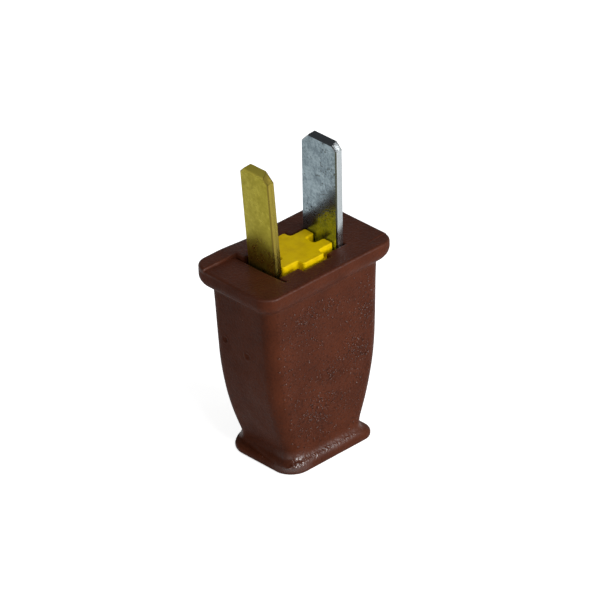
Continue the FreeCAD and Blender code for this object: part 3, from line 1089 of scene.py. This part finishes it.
    def mark(self, mesh: bpy.types.Mesh) -> None:
        """Sinks the ejector marks and paints the shares for grain, pimples, crinkles, waves and polish.

        Args:
            mesh: The skin, in millimetres.
        """
        texture = self.texture
        points = vectors(mesh.vertices, "co")
        x, y, z = points.T
        clear = texture.pocket_clear
        outside = (np.abs(x) > self.pocket_arm[0] + clear) | (np.abs(y) > self.pocket_main[1] + clear)
        outside &= z < self.body_top
        on_end = outside & (x < self.neck_end_inset - self.body_length / 2)
        for pin in PIN_MARKS:
            points[:, 0] += np.where(on_end, pin.sunk(y, z), 0.0)
        mesh.vertices.foreach_set("co", points.ravel())
        facing = np.abs(vectors(mesh.vertex_normals, "vector")[:, 1])
        front = texture.front_on.at(facing) * outside
        front *= texture.below_flange.at(self.body_top - z) * texture.above_bead.at(z)
        coarse = np.zeros(len(points))
        for patch in PATCHES:
            coarse = np.maximum(coarse, patch.share(x, z))
        off_floor = outside * texture.off_floor.at(z)
        on_bead = off_floor * (1 - Step(self.end_bead.root, self.side_bead.root).at(z))
        wrap = texture.wrap_share * texture.wrap_across.at(-y) * texture.wrap_along.at(-x)
        crinkle = on_bead * np.maximum(texture.side_on.at(facing), wrap)
        near = texture.near.at(-x)
        band = np.exp(-((z - texture.gloss_height) / texture.gloss_reach) ** 2)
        band = band * (1 - texture.gloss_faded * texture.gloss_fade.at(x))
        polish = crinkle * (near + texture.gloss_share * band * (1 - near))
        top = Step(self.height - self.face_round, self.height - texture.top_full * self.face_round)
        shares = {
            "grain": texture.grain + front * (texture.grain_front + texture.grain_coarse * coarse),
            "pimples": front * (texture.pimples + texture.pimples_coarse * coarse),
            "crinkle": crinkle * (texture.crinkle + texture.crinkle_near * near),
            "wave": off_floor,
            "polish": np.maximum(texture.top_share * top.at(z), polish),
        }
        for name, values in shares.items():
            attribute = mesh.attributes.new(name, "FLOAT", "POINT")
            attribute.data.foreach_set("value", values.astype(np.float32))

    def build(self, finish: VinylFinish) -> None:
        """Builds the skin and its coarse grain, dresses them and seats them on the shell.

        Args:
            finish: The shell's finish.
        """
        skin = new_piece("shell_moulding", self.skin())
        sizes = {"Crinkle size": 1.3, "Crinkle height": 0.18, "Wave size": 7.0, "Wave height": 0.1}
        self.ripple().apply(skin, sizes | {"Material": finish.material()})
        shade(skin.data, self.crease)
        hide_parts("shell")
        settle(skin, Body.SHELL)
        bright = replace(finish, name="grain_vinyl", matte=0.38, rough_high=0.26)
        grain = new_piece("shell_grain", skin.data.copy())
        sizes = {"Crowding": 3.6e6, "Width": 0.17, "Height": 0.1}
        self.pimples().apply(grain, sizes | {"Material": bright.material()})
        settle(grain, Body.SHELL)

    def ripple(self) -> Tree:
        """Makes the tree that moves the skin by soft waves, and by crinkles where they are painted.

        Returns:
            The tree.
        """
        tree = Tree("moulded_skin")
        lifts = []
        for kind in ("Crinkle", "Wave"):
            size, height = tree.size(kind + " size"), tree.size(kind + " height")
            scale = tree.maths("DIVIDE", 1 / MM, size)
            noise = tree.add("ShaderNodeTexNoise", {"Scale": scale, "Detail": PLAIN})
            masked = tree.times(tree.maths("SUBTRACT", noise, NOISE_MIDDLE), tree.painted(kind.lower()))
            lifts.append(tree.times(masked, tree.times(height, MM)))
        offset = tree.scaled(tree.add("GeometryNodeInputNormal", {}), tree.maths("ADD", *lifts))
        sockets = {"Geometry": tree.start.outputs[0], "Offset": offset}
        tree.close(tree.add("GeometryNodeSetPosition", sockets))
        return tree

    def pimples(self) -> Tree:
        """Makes the tree that scatters low round pimples over the painted patches of the skin.

        Returns:
            The tree.
        """
        tree = Tree("coarse_grain")
        crowding, width, height = (tree.size(name) for name in ("Crowding", "Width", "Height"))
        density = tree.times(crowding, tree.painted("pimples"))
        sockets = {"Mesh": tree.start.outputs[0], "Density": density, "Seed": self.place_seed}
        points = tree.add("GeometryNodeDistributePointsOnFaces", sockets)
        sockets = {"Segments": self.ball_segments, "Rings": self.ball_rings, "Radius": MM}
        ball = tree.add("GeometryNodeMeshUVSphere", sockets)
        size = tree.add("ShaderNodeCombineXYZ", {0: width, 1: width, 2: height})
        sockets = {2: self.ball_sizes[0], 3: self.ball_sizes[1], "Seed": self.size_seed}
        vary = tree.add("FunctionNodeRandomValue", sockets, 1, data_type="FLOAT")
        sockets = {
            "Points": points,
            "Instance": tree.add("GeometryNodeSetShadeSmooth", {"Geometry": ball}),
            "Rotation": points.node.outputs["Rotation"],
            "Scale": tree.scaled(size, vary),
        }
        tree.close(tree.add("GeometryNodeInstanceOnPoints", sockets))
        return tree


@dataclass
class Insert:
    """A rigid piece of the core, taken from its solid and given soft edges."""

    node: str
    name: str
    slot: Slot
    edge_round: float
    shortest: float
    segments: int = 3
    profile: float = 0.5
    sharpest: float = 40.0
    crease: float = 30.0
    weld: float = 1e-4
    flat: float = 0.5

    def softened(self) -> bpy.types.Mesh:
        """The solid's mesh with its outer edges rounded.

        Returns:
            A closed mesh.
        """
        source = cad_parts[self.node].data
        mesh = bmesh.new()
        corners = [mesh.verts.new(vertex.co) for vertex in source.vertices]
        for polygon in source.polygons:
            mesh.faces.new([corners[index] for index in polygon.vertices])
        bmesh.ops.remove_doubles(mesh, verts=mesh.verts, dist=self.weld * MM)
        flat = math.radians(self.flat)
        bmesh.ops.dissolve_limit(mesh, angle_limit=flat, verts=mesh.verts, edges=mesh.edges)
        turn = math.radians(self.sharpest)
        edges = [edge for edge in mesh.edges if edge.is_manifold and edge.is_convex]
        edges = [edge for edge in edges if edge.calc_face_angle() > turn]
        edges = [edge for edge in edges if edge.calc_length() > self.shortest * MM]
        sizes = {"offset": self.edge_round * MM, "segments": self.segments, "profile": self.profile}
        kinds = {"offset_type": "OFFSET", "affect": "EDGES", "clamp_overlap": True}
        bmesh.ops.bevel(mesh, geom=edges, **sizes, **kinds)
        made = bpy.data.meshes.new(self.name)
        mesh.to_mesh(made)
        mesh.free()
        return made

    def build(self, material: bpy.types.Material) -> None:
        """Builds the piece, dresses it and seats it on the core.

        Args:
            material: The finish's material.
        """
        piece = new_piece(self.name, self.softened())
        piece.data.materials.append(material)
        shade(piece.data, self.crease)
        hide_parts(self.node)
        settle(piece, Body.CORE)


@dataclass
class Blade(Insert):
    """A contact blade of folded sheet, with a fine seam along its two narrow sides."""

    side: int = 1
    lean: float = 0.0
    bend: Pair = (6.35, 35.4)
    seam_width: float = 0.14
    seam_depth: float = 0.06
    seam_on: float = 0.95
    seam_near: float = 1e-3
    cut_near: float = 1e-6
    edge_on: float = 0.74
    slant_on: float = 0.35
    tip_up: float = 0.3

    def part(self, normal: Vector) -> BladePart:
        """Tells which part of the blade a face is on.

        Args:
            normal: Where the face looks.

        Returns:
            The part.
        """
        # The tip corners share the narrow sides' painted tone; the chamfers and tip slopes get painted
        # tones of their own.
        side = abs(normal.y)
        if normal.z > self.tip_up:
            return BladePart.EDGE if side > self.slant_on else BladePart.CUT
        if side > self.edge_on:
            return BladePart.EDGE
        return BladePart.PAINTED_CHAMFER if side > self.slant_on else BladePart.BROAD

    def softened(self) -> bpy.types.Mesh:
        """The blade's mesh with rounded edges and its seams.

        Returns:
            A closed mesh, with a share that marks each part of its surface.
        """
        made = super().softened()
        mesh = bmesh.new()
        mesh.from_mesh(made)
        turn = math.radians(self.lean)
        across = Vector((math.cos(turn), 0.0, -self.side * math.sin(turn)))
        middle = Vector((self.side * self.bend[0], 0.0, self.bend[1])) * MM
        for offset in (-self.seam_width / 2, 0.0, self.seam_width / 2):
            sides = [face for face in mesh.faces if abs(face.normal.y) > self.seam_on]
            parts = {part for face in sides for part in (face, *face.edges, *face.verts)}
            plane = {"plane_co": middle + across * offset * MM, "plane_no": across}
            bmesh.ops.bisect_plane(mesh, geom=list(parts), dist=self.cut_near * MM, **plane)
        for vertex in mesh.verts:
            flat = all(abs(face.normal.y) > self.seam_on for face in vertex.link_faces)
            if flat and abs((vertex.co - middle).dot(across)) < self.seam_near * MM:
                vertex.co.y -= math.copysign(self.seam_depth * MM, vertex.co.y)
        mesh.to_mesh(made)
        mesh.free()
        parts = [self.part(polygon.normal) for polygon in made.polygons]
        for kind in BladePart:
            shares = [float(part is kind) for part in parts]
            made.attributes.new(kind.value, "FLOAT", "FACE").data.foreach_set("value", shares)
        return made


@dataclass(frozen=True)
class Lamp:
    """One soft square lamp, placed and sized in metres."""

    name: str
    place: Point
    size: float
    watts: float

    def build(self, target: Vector) -> None:
        """Adds the lamp.

        Args:
            target: The point that it faces.
        """
        light = bpy.data.lights.new(self.name, "AREA")
        light.size = self.size
        light.energy = self.watts
        holder = new_piece(self.name, light)
        holder.location = self.place
        holder.rotation_euler = (target - holder.location).to_track_quat("-Z", "Y").to_euler()


@dataclass
class Studio:
    """The floor, the lamps, the white surround and the camera."""

    camera_place: Point = (-583.72, -633.40, 543.42)
    camera_aim: Point = (-2.203, -3.331, 28.775)
    camera_roll: float = -2.1
    camera_clip: Pair = (10.0, 10000.0)
    lens: float = 379.24
    floor_half: float = 1500.0
    floor_drop: float = 0.02
    floor_colour: Colour = tone(232, 232, 232)
    floor_lift: float = 0.78
    mirror_share: float = 0.23
    ambient: float = 0.26
    horizon: float = 0.7
    ceiling: float = 0.08
    ceiling_span: Pair = (0.05, 0.35)
    target: Point = (0.0, 0.0, 22.0)
    lamps: tuple[Lamp, ...] = (
        Lamp("key", place=(0.08, -0.43, 0.16), size=0.24, watts=2.0),
        Lamp("crown", place=(-0.12, -0.26, 0.46), size=0.1, watts=0.5),
        Lamp("glint", place=(0.29, -0.25, 0.36), size=0.07, watts=0.06),
        Lamp("fill", place=(-0.45, -0.12, 0.1), size=0.3, watts=0.3),
    )

    def seen(self, graph: Graph) -> tuple[Socket, Socket]:
        """Tells the rays that see from the rays that light.

        Args:
            graph: The node tree to work in.

        Returns:
            Whether a ray is the camera's, and whether it comes from gloss or glass.
        """
        path = graph.add("ShaderNodeLightPath", {}).node.outputs
        mirrored = graph.maths("MAXIMUM", path["Is Glossy Ray"], path["Is Transmission Ray"])
        return path["Is Camera Ray"], mirrored

    def surround(self) -> None:
        """Makes a world that lights softly, looks white, and mirrors as a pale room with a dark ceiling."""
        world = bpy.data.worlds.new("surround")
        world.use_nodes = True
        bpy.context.scene.world = world
        graph = Graph(world.node_tree)
        camera, mirrored = self.seen(graph)
        up = graph.add("ShaderNodeSeparateXYZ", {0: graph.add("ShaderNodeTexCoord", {}, "Generated")}, "Z")
        levels = (self.horizon, self.ceiling)
        room = graph.remap(up, self.ceiling_span, levels, interpolation_type="SMOOTHSTEP")
        lit = graph.add("ShaderNodeMix", {"Factor": mirrored, "A": self.ambient, "B": room})
        white = graph.add("ShaderNodeMix", {"Factor": camera, "A": lit, "B": 1.0})
        back = world.node_tree.nodes["Background"]
        graph.feed(back.inputs["Color"], WHITE)
        graph.feed(back.inputs["Strength"], white)

    def floor(self) -> None:
        """Lays a pale floor that looks white, keeps the shadow and shows in gloss."""
        half = self.floor_half
        mesh = bpy.data.meshes.new("floor")
        corners = [(-half, -half), (half, -half), (half, half), (-half, half)]
        mesh.from_pydata([(x * MM, y * MM, -self.floor_drop * MM) for x, y in corners], [], [(0, 1, 2, 3)])
        sheet = Sheet("pale_floor")
        camera, mirrored = self.seen(sheet)
        share = sheet.maths("MAXIMUM", camera, sheet.times(mirrored, self.mirror_share))
        mesh.materials.append(sheet.dress({
            "Base Color": self.floor_colour,
            "Roughness": 1.0,
            "Specular IOR Level": 0.0,
            "Emission Color": WHITE,
            "Emission Strength": sheet.times(share, self.floor_lift),
        }))
        new_piece("floor", mesh)

    def camera(self) -> None:
        """Sets the camera at the photograph's viewing angle."""
        data = bpy.data.cameras.new("camera")
        data.lens = self.lens
        data.clip_start, data.clip_end = (limit * MM for limit in self.camera_clip)
        place = Vector(self.camera_place) * MM
        aim = Vector(self.camera_aim) * MM
        turn = (aim - place).to_track_quat("-Z", "Y").to_matrix()
        roll = Matrix.Rotation(math.radians(self.camera_roll), 3, "Z")
        holder = new_piece("camera", data)
        holder.matrix_world = Matrix.Translation(place) @ (turn @ roll).to_4x4()
        bpy.context.scene.camera = holder

    def build(self) -> None:
        """Builds the whole studio."""
        self.surround()
        self.floor()
        for lamp in self.lamps:
            lamp.build(Vector(self.target) * MM)
        self.camera()
        bpy.context.scene.view_settings.view_transform = "Standard"


def main() -> None:
    """Builds every piece in order, then the studio."""
    logging.basicConfig(level=logging.INFO, format="%(name)s %(message)s")
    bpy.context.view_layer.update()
    low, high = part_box("shell")
    size = (high - low) / MM
    Shell(length=size.x, width=size.y, height=size.z).build(VinylFinish())
    core = Insert("core", "core_moulding", Slot.PLASTIC, edge_round=0.1, shortest=0.6)
    core.build(CoreFinish().material())
    soft = {"edge_round": 0.06, "shortest": 0.3, "sharpest": 24.0, "crease": 17.0}
    narrow = Blade("hot_blade", "narrow_blade", Slot.BRASS, side=-1, lean=3.4, **soft)
    narrow.build(BRASS.material())
    wide = Blade("neutral_blade", "wide_blade", Slot.NICKEL, side=1, lean=1.3, **soft)
    wide.build(NICKEL.material())
    Studio().build()


if __name__ == "__main__":
    main()
